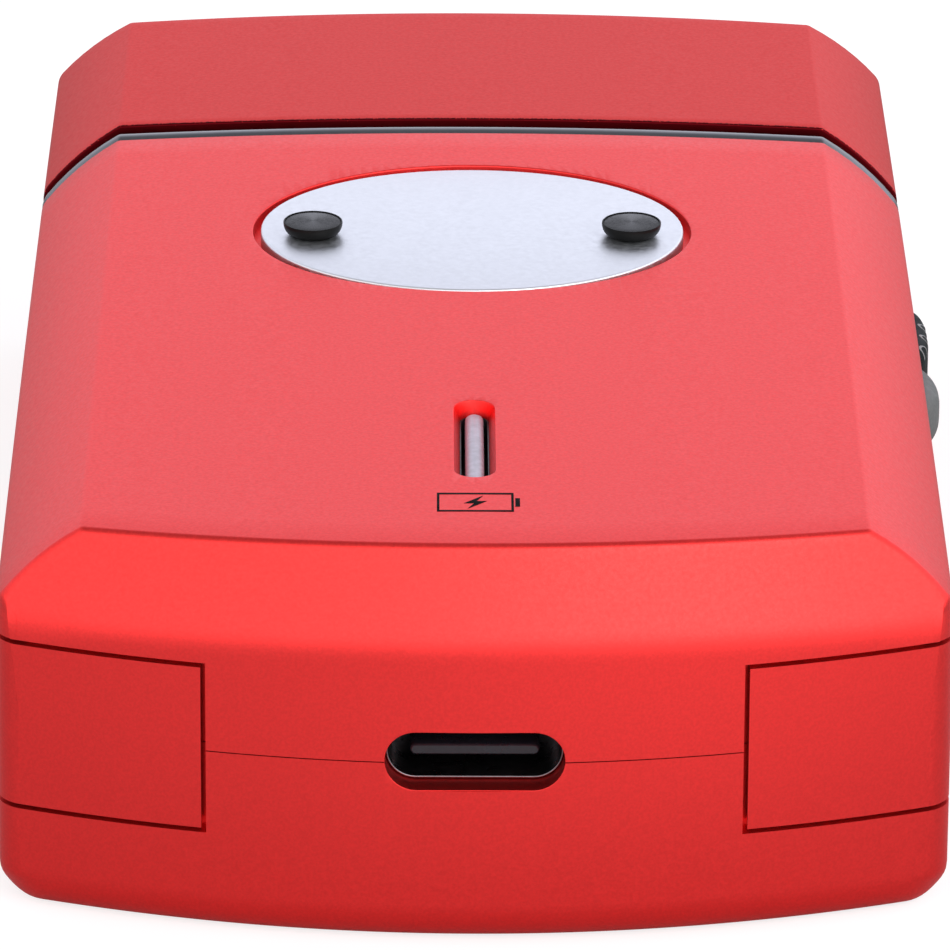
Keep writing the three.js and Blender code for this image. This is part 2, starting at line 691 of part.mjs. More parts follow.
put("status_led", box(-0.8, 0.8, SLOT.y - 0.6, SLOT.y + 0.6, BOARD.top, BOARD.top + 0.7), WHITE);
put("battery_cell", batteryCell(), CELL_WRAP);
put("battery_pad", batteryPad(), RUBBER);
put("usb_receptacle", usbShell(), STEEL);
put("usb_tongue", usbTongue(), BLACK);
put("slide_switch", slideSwitch(), STEEL);
put("tact_switch", tactSwitch(), BLACK);
put("motor_can", motorCan(), STEEL);
put("motor_shaft", motorShaft(), STEEL);
put("bridge", bridge(), WHITE);
put("cutter_block", cutterBlock(), STEEL);
put("foil", foilSheet(), SILVER);
put("foil_frame", foilFrame(), BLACK);

export default shaver;
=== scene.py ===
"""Compact electric foil shaver lying on its back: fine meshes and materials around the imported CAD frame.

Shapes are worked out in millimetres and written in metres. +X is the control side, +Y runs to the
cap, and z = 0 is the back face.
"""

import math

import bmesh
import bpy
import numpy as np
from mathutils import Matrix, Vector


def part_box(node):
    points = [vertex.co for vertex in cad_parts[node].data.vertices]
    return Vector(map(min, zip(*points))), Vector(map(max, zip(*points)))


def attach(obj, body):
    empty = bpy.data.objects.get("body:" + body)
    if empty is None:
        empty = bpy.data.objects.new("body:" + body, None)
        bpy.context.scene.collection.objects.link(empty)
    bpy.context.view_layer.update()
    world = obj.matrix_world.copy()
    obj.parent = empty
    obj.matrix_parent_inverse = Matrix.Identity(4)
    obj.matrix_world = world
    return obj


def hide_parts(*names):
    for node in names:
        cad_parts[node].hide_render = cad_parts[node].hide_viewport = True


MM = 0.001

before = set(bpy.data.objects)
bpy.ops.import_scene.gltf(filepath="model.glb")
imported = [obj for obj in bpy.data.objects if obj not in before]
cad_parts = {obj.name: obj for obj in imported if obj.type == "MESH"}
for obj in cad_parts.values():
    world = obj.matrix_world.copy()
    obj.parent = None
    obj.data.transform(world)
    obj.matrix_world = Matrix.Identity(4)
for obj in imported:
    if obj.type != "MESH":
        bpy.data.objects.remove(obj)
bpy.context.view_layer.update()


def node_box(node):
    """Lowest and highest corners of a CAD node, in millimetres."""
    low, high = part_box(node)
    return np.array(low) / MM, np.array(high) / MM


FRONT_LOW, FRONT_HIGH = node_box("front_shell")
CAP_LOW, CAP_HIGH = node_box("cap_shell")
TRIM_LOW, TRIM_HIGH = node_box("trim_ring")
BADGE_LOW, BADGE_HIGH = node_box("badge_plate")
PIPE_LOW, PIPE_HIGH = node_box("light_pipe")
COVER_LOW, COVER_HIGH = node_box("corner_cover_right")
PORT_LOW, PORT_HIGH = node_box("usb_receptacle")
TONGUE_LOW, TONGUE_HIGH = node_box("usb_tongue")
GRIP_LOW, GRIP_HIGH = node_box("slider_grip")
BUTTON_LOW, BUTTON_HIGH = node_box("lock_button")

# ---------- driving dimensions of the outer form, in millimetres ----------

HALF_WIDTH = FRONT_HIGH[0]
DEPTH = FRONT_HIGH[2]
PARTING = FRONT_LOW[2]
NEAR_TIP = FRONT_LOW[1]
MOUTH = FRONT_HIGH[1]
CAP_START = CAP_LOW[1]
FAR_TIP = CAP_HIGH[1]
EDGE_X = 21.5
CROWN = 0.55
EDGE_Z = DEPTH - CROWN
BEVEL_DROP = 4.3
BEVEL_BOW = 0.28
BARREL = 0.004  # share of the width lost at the ends
CROWN_RADIUS = EDGE_X**2 / (2 * CROWN)
SHELL_WALL = 1.8
CAP_WALL = 1.3
HAIRLINE = 0.03  # half of the gap between the shells
FAR_OUT = 60  # past every part of the shaver, for the sides of cutters
SPLIT = {"x": 40, "y": FAR_OUT, "top": 40, "bottom": -10}  # a block that holds both shells

# Roundings of the section's corners.
BACK_ROUND = 2.3
SHOULDER_ROUND = 1.6
BEVEL_ROUND = 0.6

NEAR_END = {"tip": NEAR_TIP, "bow": 65, "lean": 0.452, "drop": 5.15, "soft": 0.3, "into": 1}
FAR_END = {"tip": FAR_TIP, "bow": 480, "lean": 0.463, "drop": 4.8, "soft": 0.4, "into": -1}
NEAR_ROUNDS = {"top": 0.28, "side": 1.2, "back": 2.1}
FAR_ROUNDS = {"top": 0.3, "side": 0.35, "back": 2.1}


# ---------- mesh helpers ----------

SHARP = 32  # degrees between faces from which an edge stays sharp
WELD = 1e-7  # metres within which points are one


def link(obj):
    bpy.context.scene.collection.objects.link(obj)
    return obj


def mesh_object(name, points, faces, sharp=SHARP):
    """An object from points in millimetres, smooth apart from edges sharper than `sharp` degrees."""
    mesh = bpy.data.meshes.new(name)
    mesh.from_pydata([tuple(MM * c for c in p) for p in points], [], faces)
    obj = link(bpy.data.objects.new(name, mesh))
    tidy_normals(obj)
    smooth(obj, sharp)
    return obj


def tidy_normals(obj):
    work = bmesh.new()
    work.from_mesh(obj.data)
    bmesh.ops.remove_doubles(work, verts=work.verts, dist=WELD)
    bmesh.ops.recalc_face_normals(work, faces=work.faces)
    work.to_mesh(obj.data)
    work.free()


def smooth(obj, sharp=SHARP):
    obj.data.shade_smooth()
    obj.data.set_sharp_from_angle(angle=math.radians(sharp))


def boolean(obj, tool, operation="DIFFERENCE"):
    """Cuts, joins or intersects with another object, which is used up."""
    step = obj.modifiers.new("cut", "BOOLEAN")
    step.operation = operation
    step.solver = "MANIFOLD"
    step.object = tool
    depsgraph = bpy.context.evaluated_depsgraph_get()
    result = bpy.data.meshes.new_from_object(obj.evaluated_get(depsgraph))
    obj.modifiers.clear()
    old = obj.data
    obj.data = result
    bpy.data.meshes.remove(old)
    bpy.data.objects.remove(tool, do_unlink=True)
    return obj


def copy_of(obj, name):
    twin = obj.copy()
    twin.data = obj.data.copy()
    twin.name = name
    return link(twin)


def softened(node, radius):
    """A copy of a CAD piece whose sharp edges are rounded."""
    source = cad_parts[node]
    mesh = source.data.copy()
    mesh.transform(source.matrix_world)
    mesh.materials.clear()
    obj = link(bpy.data.objects.new(f"{node}_skin", mesh))
    work = bmesh.new()
    work.from_mesh(mesh)
    bmesh.ops.remove_doubles(work, verts=work.verts, dist=WELD)
    bmesh.ops.dissolve_limit(work, angle_limit=math.radians(2), verts=work.verts, edges=work.edges)
    work.to_mesh(mesh)
    work.free()
    bevel = obj.modifiers.new("soften", "BEVEL")
    bevel.width = radius * MM
    bevel.segments = 3
    bevel.limit_method = "ANGLE"
    bevel.angle_limit = math.radians(38)
    depsgraph = bpy.context.evaluated_depsgraph_get()
    result = bpy.data.meshes.new_from_object(obj.evaluated_get(depsgraph))
    obj.modifiers.clear()
    obj.data = result
    bpy.data.meshes.remove(mesh)
    smooth(obj, 40)
    return obj


def box_mesh(x0, x1, y0, y1, z0, z1, name="tool"):
    points = [(x, y, z) for x in (x0, x1) for y in (y0, y1) for z in (z0, z1)]
    faces = [(0, 1, 3, 2), (4, 6, 7, 5), (0, 4, 5, 1), (2, 3, 7, 6), (0, 2, 6, 4), (1, 5, 7, 3)]
    return mesh_object(name, points, faces)


def loft(name, rings, capped=True, sharp=SHARP):
    """A skin over closed rings with the same number of points; capped rings close the ends."""
    count = len(rings[0])
    points = [tuple(p) for ring in rings for p in ring]
    faces = []
    for k in range(len(rings) - 1):
        for i in range(count):
            j = (i + 1) % count
            faces.append((k * count + i, k * count + j, (k + 1) * count + j, (k + 1) * count + i))
    if capped:
        faces.append(tuple(range(count)))
        faces.append(tuple((len(rings) - 1) * count + i for i in range(count)))
    else:
        last = (len(rings) - 1) * count
        for i in range(count):
            j = (i + 1) % count
            faces.append((last + i, last + j, j, i))
    return mesh_object(name, points, faces, sharp)


def obround(length, height, steps=16):
    """Points of an obround in (u, v), its length along u."""
    r = height / 2
    half = length / 2 - r
    turn = np.linspace(-math.pi / 2, math.pi / 2, steps)
    right = [(half + r * math.cos(a), r * math.sin(a)) for a in turn]
    left = [(-u, -v) for u, v in right]
    return right + left


def ellipse(rx, ry, steps=96):
    return [(rx * math.cos(a), ry * math.sin(a)) for a in np.arange(steps) * 2 * math.pi / steps]


def crown_z(x):
    """Height of the front face at a distance x from the middle."""
    return DEPTH - x**2 / (2 * CROWN_RADIUS)


# ---------- the section of the body and cap ----------

# Counts of points along each run of the section, and the flat of the sides that holds SIDE_STEPS.
TOP_STEPS = {"side": 3, "shoulder": 6, "bevel": 6, "edge": 6, "crown": 64}
SIDE_STEPS = 60
SIDE_LOW, SIDE_HIGH = 4.0, 15.0
SMALLEST_ROUND = 0.05


def fillet(corner, normal_in, normal_out, inset, radius, steps):
    """Points and normals of a rounded corner of the section, moved inwards by `inset`."""
    r = max(radius - inset, SMALLEST_ROUND)
    n1, n2 = np.array(normal_in), np.array(normal_out)
    centre = np.array(corner) - (inset + r) * (n1 + n2) / (1 + n1 @ n2)
    a1, a2 = math.atan2(n1[1], n1[0]), math.atan2(n2[1], n2[0])
    if a2 < a1 - math.pi:
        a2 += 2 * math.pi
    angles = np.linspace(a1, a2, steps + 1)
    normals = np.stack([np.cos(angles), np.sin(angles)], axis=1)
    return centre + r * normals, normals


def straight(start, end, normal, steps):
    """The points strictly between two ends of a flat."""
    t = np.linspace(0, 1, steps + 1)[1:-1, None]
    points = np.array(start) * (1 - t) + np.array(end) * t
    return points, np.repeat(np.array(normal)[None, :], len(points), axis=0)


def facing(angle):
    """The direction in the section at an angle above +X."""
    return (math.cos(angle), math.sin(angle))


def bowed(start, end, tilt, bulge, steps):
    """The points strictly between two ends of a bowed flat whose normal turns by `bulge` either way."""
    start, end = np.array(start), np.array(end)
    t = np.linspace(0, 1, steps + 1)[1:-1, None]
    out = np.array(facing(tilt))
    top = (start + end) / 2 + out * np.linalg.norm(end - start) / 2 * math.tan(bulge)
    points = start * (1 - t) ** 2 + top * 2 * t * (1 - t) + end * t**2
    angles = tilt + bulge * (2 * t[:, 0] - 1)
    return points, np.stack([np.cos(angles), np.sin(angles)], axis=1)


def barrelled(points):
    """Narrows points of the outer form slightly towards its ends."""
    return [(x * (1 - BARREL * (y / NEAR_TIP) ** 2), y, z) for x, y, z in points]


def outline(inset=0.0):
    """The section as a loop of (x, z) points with outward normals, in four runs that meet at the sides.

    It runs up the right side, over the top to the left, down the left side and back under.
    """
    lean = math.asin(EDGE_X / CROWN_RADIUS)
    tilt = math.atan2(HALF_WIDTH - EDGE_X, BEVEL_DROP)
    bulge = math.atan(4 * BEVEL_BOW / math.hypot(HALF_WIDTH - EDGE_X, BEVEL_DROP))
    side, up = (1.0, 0.0), (math.sin(lean), math.cos(lean))
    low_slope, high_slope = facing(tilt - bulge), facing(tilt + bulge)
    steps = TOP_STEPS
    x_side = HALF_WIDTH - inset
    low_corner = (HALF_WIDTH, EDGE_Z - BEVEL_DROP)
    shoulder = fillet(low_corner, side, low_slope, inset, SHOULDER_ROUND, steps["shoulder"])
    edge = fillet((EDGE_X, EDGE_Z), high_slope, up, inset, BEVEL_ROUND, steps["edge"])
    rise = straight((x_side, SIDE_HIGH), shoulder[0][0], side, steps["side"])
    bevel = bowed(shoulder[0][-1], edge[0][0], tilt, bulge, steps["bevel"])
    half_points = [np.array([[x_side, SIDE_HIGH]]), rise[0], shoulder[0], bevel[0], edge[0]]
    half_normals = [np.array([side]), rise[1], shoulder[1], bevel[1], edge[1]]
    right = np.concatenate(half_points)
    right_n = np.concatenate(half_normals)
    x_edge, z_edge = right[-1]
    t = np.linspace(1, -1, steps["crown"] + 1)[1:-1]
    crown = np.stack([x_edge * t, z_edge + CROWN * (x_edge / EDGE_X) ** 2 * (1 - t**2)], axis=1)
    crown_n = np.stack([np.sin(lean * t), np.cos(lean * t)], axis=1)
    flip = np.array([-1.0, 1.0])
    top = np.concatenate([right, crown, right[::-1] * flip])
    top_n = np.concatenate([right_n, crown_n, right_n[::-1] * flip])
    back = fillet((HALF_WIDTH, 0), (0.0, -1.0), side, inset, BACK_ROUND, 10)
    total = len(top) - 1
    fall = straight(back[0][-1], (x_side, SIDE_LOW), side, 3)
    lower = np.concatenate([back[0], fall[0], [[x_side, SIDE_LOW]]])
    lower_n = np.concatenate([back[1], fall[1], [side]])
    flat_steps = total - 2 * (len(lower) - 1)
    flat = straight(back[0][0] * flip, back[0][0], (0.0, -1.0), flat_steps)
    bottom = np.concatenate([(lower * flip)[::-1], flat[0], lower])
    bottom_n = np.concatenate([(lower_n * flip)[::-1], flat[1], lower_n])
    z = np.linspace(SIDE_LOW, SIDE_HIGH, SIDE_STEPS + 1)[1:-1]
    wall = np.stack([np.full_like(z, x_side), z], axis=1)
    wall_n = np.repeat(np.array([side]), len(z), axis=0)
    points = np.concatenate([top, (wall * flip)[::-1], bottom, wall])
    normals = np.concatenate([top_n, (wall_n * flip)[::-1], bottom_n, wall_n])
    return points, normals, len(top), len(wall)


INSET_DROP = 0.2  # how far the chamfer's foot falls per millimetre of inset
FULL_TILT = 0.75  # share of a normal that points up or down where the full rounding starts


def end_face(end, x, z, inset=0.0):
    """Where the end wall stands at (x, z): a bowed face with a chamfer that follows the crown."""
    into = end["into"]
    bow = end["tip"] + into * (x**2 / (2 * end["bow"]) + inset)
    height = z - (crown_z(x) - end["drop"] - INSET_DROP * inset)
    gap = end["lean"] * height
    soft = end["soft"]
    blend = np.clip(0.5 + gap / (2 * soft), 0, 1)
    rise = gap * blend + soft * blend * (1 - blend)
    return bow + into * rise


def end_rounds(normals, rounds):
    """Rounding between the end and the long surfaces, for each point of the section."""
    up = np.clip(normals[:, 1] / FULL_TILT, 0, 1)
    down = np.clip(-normals[:, 1] / FULL_TILT, 0, 1)
    ease_up = up * up * (3 - 2 * up)
    ease_down = down * down * (3 - 2 * down)
    top, side, back = rounds["top"], rounds["side"], rounds["back"]
    return side + (top - side) * ease_up + (back - side) * ease_down


def closed_end(end, rounds, inset, points, normals, top_count, wall_count):
    """Rings of an end's rounding, outermost first, and the grid that closes it."""
    into = end["into"]
    r = end_rounds(normals, rounds)
    rings = []
    for a in np.linspace(0, math.pi / 2, 7):
        p = points - normals * (r * (1 - math.cos(a)))[:, None]
        y = end_face(end, p[:, 0], p[:, 1], inset) + into * r * (1 - math.sin(a))
        rings.append(np.stack([p[:, 0], y, p[:, 1]], axis=1))
    inner = rings[-1][:, [0, 2]]
    top = inner[:top_count]
    start = top_count + wall_count
    bottom = inner[start : start + top_count][::-1]
    rows = []
    for v in np.linspace(0, 1, wall_count + 2)[1:-1]:
        row = top * (1 - v) + bottom * v
        y = end_face(end, row[:, 0], row[:, 1], inset)
        rows.append(np.stack([row[:, 0], y, row[:, 1]], axis=1))
    return rings, rows


def form(name, inset=0.0, start=None, stop=None, mouth_round=0.2):
    """The outer form between two flat cuts; a cut left out is the rounded end of the shaver."""
    points, normals, top_count, wall_count = outline(inset)
    count = len(points)
    verts = []
    faces = []

    def flat_rings(y, into):
        rings = []
        for a in np.linspace(0, math.pi / 2, 4):
            p = points - normals * mouth_round * (1 - math.cos(a))
            rise = into * mouth_round * (1 - math.sin(a))
            rings.append(np.stack([p[:, 0], np.full(count, y + rise), p[:, 1]], axis=1))
        return rings, None

    def half(cut, end, rounds, into):
        if cut is not None:
            return flat_rings(cut, into)
        return closed_end(end, rounds, inset, points, normals, top_count, wall_count)

    near_rings, near_rows = half(start, NEAR_END, NEAR_ROUNDS, 1)
    far_rings, far_rows = half(stop, FAR_END, FAR_ROUNDS, -1)
    first, last = near_rings[0], far_rings[0]
    between = [first * (1 - t) + last * t for t in np.linspace(0, 1, 25)[1:-1]]
    rings = near_rings[::-1] + between + far_rings
    for ring in rings:
        verts.extend(map(tuple, ring))
    for k in range(len(rings) - 1):
        for i in range(count):
            j = (i + 1) % count
            faces.append((k * count + i, k * count + j, (k + 1) * count + j, (k + 1) * count + i))

    def close(base, rows):
        top = [base + i for i in range(top_count)]
        left = [base + top_count + i for i in range(wall_count)]
        bottom = [base + top_count + wall_count + i for i in range(top_count)][::-1]
        right = [base + 2 * top_count + wall_count + i for i in range(wall_count)][::-1]
        if rows is None:
            faces.append(tuple(range(base, base + count)))
            return
        grid = [top]
        for k, row in enumerate(rows):
            at = len(verts)
            verts.extend(map(tuple, row[1:-1]))
            grid.append([right[k]] + list(range(at, at + top_count - 2)) + [left[k]])
        grid.append(bottom)
        for upper, lower in zip(grid, grid[1:]):
            for i in range(top_count - 1):
                faces.append((upper[i], upper[i + 1], lower[i + 1], lower[i]))

    close(0, near_rows)
    close((len(rings) - 1) * count, far_rows)
    return mesh_object(name, barrelled(verts), faces)


def sweep(name, profile):
    """A band round the section; the profile is a closed loop of (y, inset)."""
    rings = []
    for y, inset in profile:
        points = outline(inset)[0]
        rings.append(barrelled([(x, y, z) for x, z in points]))
    return loft(name, rings, capped=False)


# ---------- shells ----------


CUTTER_REACH = 2  # how far cutters stand out of the surface they cut


def flared(shape, place, lip):
    """Rings of a cutter whose mouth opens by `lip` at the surface; place(u, v, depth) gives a point."""
    steps = [(lip, -CUTTER_REACH), (lip, 0.0)]
    for a in np.linspace(0, math.pi / 2, 5)[1:]:
        steps.append((lip * (1 - math.sin(a)), lip * (1 - math.cos(a))))
    rings = []
    for grow, depth in steps:
        rings.append([place(u, v, depth) for u, v in shape(grow)])
    return rings


SLOT = {
    "length": 11.5,
    "width": 2.3,
    "lip": 0.06,
    "slit_length": 11.0,
    "slit_width": 1.65,
    "depth": 0.85,
}
SLOT_Y = (PIPE_LOW[1] + PIPE_HIGH[1]) / 2


def upright_obround(length, width):
    """An obround in (x, y) whose length runs along y."""
    return [(v, u) for u, v in obround(length, width)][::-1]


def slot_tool():
    """The flared slot in the front face, and the slit below it."""

    def place(u, v, depth):
        return (u, SLOT_Y + v, crown_z(u) - depth)

    def shape(grow):
        return upright_obround(SLOT["length"] + 2 * grow, SLOT["width"] + 2 * grow)

    rings = flared(shape, place, SLOT["lip"])
    slit = upright_obround(SLOT["slit_length"], SLOT["slit_width"])
    rings.append([place(u, v, SLOT["depth"]) for u, v in slit])
    rings.append([(u, SLOT_Y + v, DEPTH - 5) for u, v in slit])
    return loft("slot_tool", rings)


def slot_lining():
    """A black sleeve inside the slit, open at the top, that the light pipe stands in."""
    top, floor = DEPTH - SLOT["depth"] - 0.05, DEPTH - 3
    length, width = SLOT["slit_length"], SLOT["slit_width"]
    sizes = [(0.02, floor - 0.2), (0.02, top), (0.08, top), (0.08, floor)]
    rings = []
    for inset, z in sizes:
        ring = upright_obround(length - 2 * inset, width - 2 * inset)
        rings.append([(u, SLOT_Y + v, z) for u, v in ring])
    return loft("slot_lining", rings)


BADGE_MIDDLE = (BADGE_LOW[1] + BADGE_HIGH[1]) / 2
BADGE_RX = BADGE_HIGH[0]
BADGE_RY = (BADGE_HIGH[1] - BADGE_LOW[1]) / 2
BADGE_GROOVE, BADGE_LIP = 0.45, 0.1


def badge_tool():
    """The flared recess round the badge."""
    rx, ry = BADGE_RX + BADGE_GROOVE, BADGE_RY + BADGE_GROOVE

    def place(u, v, depth):
        return (u, BADGE_MIDDLE + v, crown_z(u) - depth)

    rings = flared(lambda grow: ellipse(rx + grow, ry + grow), place, BADGE_LIP)
    rings.append([(u, BADGE_MIDDLE + v, BADGE_LOW[2]) for u, v in ellipse(rx, ry)])
    return loft("badge_tool", rings)


PORT_Z = (TONGUE_LOW[2] + TONGUE_HIGH[2]) / 2
PORT = {"length": 9.8, "height": 3.4, "lip": 0.03, "depth": 4}


def port_tool():
    """The socket's opening in the end face."""

    def shape(grow):
        return obround(PORT["length"] + 2 * grow, PORT["height"] + 2 * grow, 20)

    def place(u, v, depth):
        return (u, NEAR_TIP + u**2 / (2 * NEAR_END["bow"]) + depth, PORT_Z + v)

    rings = flared(shape, place, PORT["lip"])
    rings.append([(u, NEAR_TIP + PORT["depth"], PORT_Z + v) for u, v in shape(0)])
    return loft("port_tool", rings)


def cover_pocket(side, gap, depth):
    """A cutter for the skin under a corner cover, standing well clear of the outer surface."""
    tool = cover_region(side, gap)
    return boolean(tool, form("inside", depth, None, COVER_HIGH[1] + 10))


def cover_region(side, gap):
    """A block that holds a corner cover, grown by `gap`."""
    edge = COVER_LOW[0] - gap
    x0, x1 = sorted((side * edge, side * FAR_OUT))
    y1, z0, z1 = COVER_HIGH[1] + gap, COVER_LOW[2] - gap, COVER_HIGH[2] + gap
    return box_mesh(x0, x1, -FAR_OUT, y1, z0, z1)


def cover_block(side, gap, depth):
    """The skin of the body that a corner cover takes up, grown by `gap`."""
    block = form("cover_block", 0.0, None, COVER_HIGH[1] + 5)
    boolean(block, form("inside", depth, None, COVER_HIGH[1] + 10))
    return boolean(block, cover_region(side, gap), "INTERSECT")


BUTTON_MIDDLE = (BUTTON_LOW + BUTTON_HIGH) / 2
BUTTON_LENGTH, BUTTON_HEIGHT = 7.4, 3.4
BUTTON_GAP, BUTTON_LIP = 0.2, 0.12
PAD_MIDDLE = (GRIP_LOW + GRIP_HIGH) / 2
STEM_SLOT = {"back": 1.2, "forward": 4.1, "half_height": 0.9}
COVER_GAP, COVER_RECESS, COVER_WALL = 0.27, 1.25, 0.9


def button_tool():
    """The flared hole round the button."""
    y, z = BUTTON_MIDDLE[1], BUTTON_MIDDLE[2]

    def shape(more):
        grow = 2 * (BUTTON_GAP + more)
        return obround(BUTTON_LENGTH + grow, BUTTON_HEIGHT + grow)

    def place(u, v, depth):
        return (HALF_WIDTH - depth, y + u, z + v)

    rings = flared(shape, place, BUTTON_LIP)
    rings.append([place(u, v, 4) for u, v in shape(0)])
    return loft("button_tool", rings)


def stem_slot_tool():
    """The slot in the side wall that the slider's stem runs in."""
    x0, x1 = 20, 30  # well past the wall on both sides
    y, z, half = PAD_MIDDLE[1], PAD_MIDDLE[2], STEM_SLOT["half_height"]
    return box_mesh(x0, x1, y - STEM_SLOT["back"], y + STEM_SLOT["forward"], z - half, z + half)


def body_shells():
    """The front and back shells: one hollow form, split along the hairline."""
    body = form("front_shell_skin", 0.0, None, MOUTH)
    boolean(body, form("inside", SHELL_WALL, None, MOUTH + 10))
    for side in (-1, 1):
        boolean(body, cover_pocket(side, COVER_GAP, COVER_RECESS))
    boolean(body, port_tool())
    back = copy_of(body, "back_shell_skin")
    across = (-SPLIT["x"], SPLIT["x"], -SPLIT["y"], SPLIT["y"])
    boolean(body, box_mesh(*across, PARTING + HAIRLINE, SPLIT["top"]), "INTERSECT")
    boolean(back, box_mesh(*across, SPLIT["bottom"], PARTING - HAIRLINE), "INTERSECT")
    boolean(body, badge_tool())
    boolean(body, slot_tool())
    boolean(body, button_tool())
    boolean(body, stem_slot_tool())
    for obj in (body, back):
        smooth(obj)
    return body, back


def corner_cover(side, name):
    cover = cover_block(side, 0.0, COVER_WALL)
    cover.name = name
    smooth(cover)
    return cover


def cap_shell():
    cap = form("cap_shell_skin", 0.0, CAP_START, None, 0.12)
    boolean(cap, form("inside", CAP_WALL, 0.0, None))
    smooth(cap)
    return cap


def trim_bead():
    """The silver ring between body and cap, half round on the outside."""
    bulge, foot = 0.62, 2.2
    y0, y1 = TRIM_LOW[1] + 0.02, TRIM_HIGH[1]
    middle, half = (y0 + y1) / 2, (y1 - y0) / 2
    profile = [(y0, foot)]
    for a in np.linspace(math.pi, 0, 17):
        profile.append((middle + half * math.cos(a), bulge - bulge * math.sin(a)))
    profile.append((y1, foot))
    return sweep("trim_bead", profile)


# ---------- small fittings ----------


def badge():
    """A flat oval plate with a rounded rim."""
    rim = 0.15
    top, bottom = BADGE_HIGH[2], BADGE_LOW[2]
    rings = [[(u, BADGE_MIDDLE + v, bottom) for u, v in ellipse(BADGE_RX, BADGE_RY)]]
    for a in np.linspace(0, math.pi / 2, 6):
        shrink, fall = rim * (1 - math.cos(a)), rim * (1 - math.sin(a))
        oval = ellipse(BADGE_RX - shrink, BADGE_RY - shrink)
        rings.append([(u, BADGE_MIDDLE + v, top - fall) for u, v in oval])
    return loft("badge_face", rings)


TURNED_STEPS = 64


def turned(name, profile, centre):
    """A round piece standing along Z; profile holds (radius, height), from bottom to top."""
    x, y = centre
    rings = []
    for r, h in profile:
        rings.append([(x + u, y + v, h) for u, v in ellipse(r, r, TURNED_STEPS)])
    return loft(name, rings)


PIPE_BAR = {"length": 10.95, "width": 1.05, "round": 0.35, "top": PIPE_HIGH[2]}


def badge_screw(node):
    """A black head with a rounded underside, and the turned steel disc let into its top."""
    low, high = node_box(node)
    centre = (low[:2] + high[:2]) / 2
    head = (high[0] - low[0]) / 2
    base, top = BADGE_HIGH[2], high[2]
    shank, foot = 0.8, head * 0.62
    rim = top - 0.1
    body = [(shank, low[2]), (shank, base), (foot, base + 0.01)]
    for a in np.linspace(0.15, math.pi / 2, 8):
        body.append((foot + (head - foot) * math.sin(a), base + (rim - base) * (1 - math.cos(a))))
    body += [(head - 0.01, top - 0.03), (head - 0.04, top)]
    body += [(head - 0.1, top), (head - 0.12, top - 0.12)]
    face = [(head - 0.13, top - 0.3), (head - 0.13, top - 0.05)]
    face += [(r, top + 0.03 - 0.08 * (r / head) ** 2) for r in (1.5, 1.2, 0.9, 0.6, 0.3, 0.03)]
    return turned(f"{node}_head", body, centre), turned(f"{node}_face", face, centre)


def light_bar():
    """The frosted end of the light pipe, with a rounded top and ends."""
    width = PIPE_BAR["width"]
    rings = [[(u, SLOT_Y + v, DEPTH - 3.5) for u, v in upright_obround(PIPE_BAR["length"], width)]]
    for a in np.linspace(0, math.pi / 2, 8)[:-1]:
        shrink = width * (1 - math.cos(a)) * 0.98
        z = PIPE_BAR["top"] - PIPE_BAR["round"] * (1 - math.sin(a))
        ring = upright_obround(PIPE_BAR["length"] - shrink, width - shrink)
        rings.append([(u, SLOT_Y + v, z) for u, v in ring])
    return loft("light_bar", rings)


def receptacle():
    """The socket's metal mouth: a rounded tube with a rolled rim and a closed back."""
    mouth, back = PORT_LOW[1], PORT_HIGH[1]
    outer, inner = (9.7, 3.3), (9.45, 3.0)

    def ring(size, y):
        return [(u, y, PORT_Z + v) for u, v in obround(size[0], size[1], 20)]

    rings = [ring(outer, back)]
    for a in np.linspace(0, math.pi, 9):
        t = (1 - math.cos(a)) / 2
        size = tuple(o * (1 - t) + i * t for o, i in zip(outer, inner))
        rings.append(ring(size, mouth + 0.07 * (1 - math.sin(a))))
    rings.append(ring(inner, back - 0.7))
    return loft("receptacle_mouth", rings)


def tongue():
    """The bar inside the socket, with a rounded tip."""
    z = PORT_Z - 0.08
    half_width, half_height = 3.55, 0.34
    tip = TONGUE_LOW[1]
    rings = []
    for y, shrink in ((tip, 0.12), (tip + 0.06, 0.04), (tip + 0.15, 0), (TONGUE_HIGH[1], 0)):
        ring = obround(2 * (half_width - shrink), 2 * (half_height - shrink), 6)
        rings.append([(u, y, z + v) for u, v in ring])
    return loft("tongue_bar", rings)


def lens_height(s, proud, fullness):
    """How far a lens dome stands out where its outline has shrunk to the fraction s."""
    return proud * max(1 - s**fullness, 0) ** (1.9 / fullness)


def side_lens(name, middle, length, height, proud, foot, fullness):
    """A low lens-shaped dome on the control side, standing on a straight obround shank."""
    y, z = middle[1], middle[2]
    rings = [[(foot, y + u, z + v) for u, v in obround(length, height, 24)]]
    for s in np.linspace(1, 0.03, 20):
        out = HALF_WIDTH + 0.05 + lens_height(s, proud - 0.05, fullness)
        rings.append([(out, y + u * s, z + v * s**0.5) for u, v in obround(length, height, 24)])
    return loft(name, rings, sharp=50)


PAD_LENGTH, PAD_HEIGHT = GRIP_HIGH[1] - GRIP_LOW[1], GRIP_HIGH[2] - GRIP_LOW[2]
PAD_PROUD = GRIP_HIGH[0] - HALF_WIDTH - 0.05
PAD_FULLNESS = 2.7


def slider_pad():
    """The slider's dome, standing just clear of the side, and the stem that goes through the wall."""
    foot = HALF_WIDTH + 0.05
    pad = side_lens("slider_pad", PAD_MIDDLE, PAD_LENGTH, PAD_HEIGHT, PAD_PROUD, foot, PAD_FULLNESS)
    y, z = PAD_MIDDLE[1], PAD_MIDDLE[2]
    stem = box_mesh(GRIP_LOW[0], HALF_WIDTH + 0.3, y - 0.9, y + 0.9, z - 0.6, z + 0.6)
    return boolean(pad, stem, "UNION")


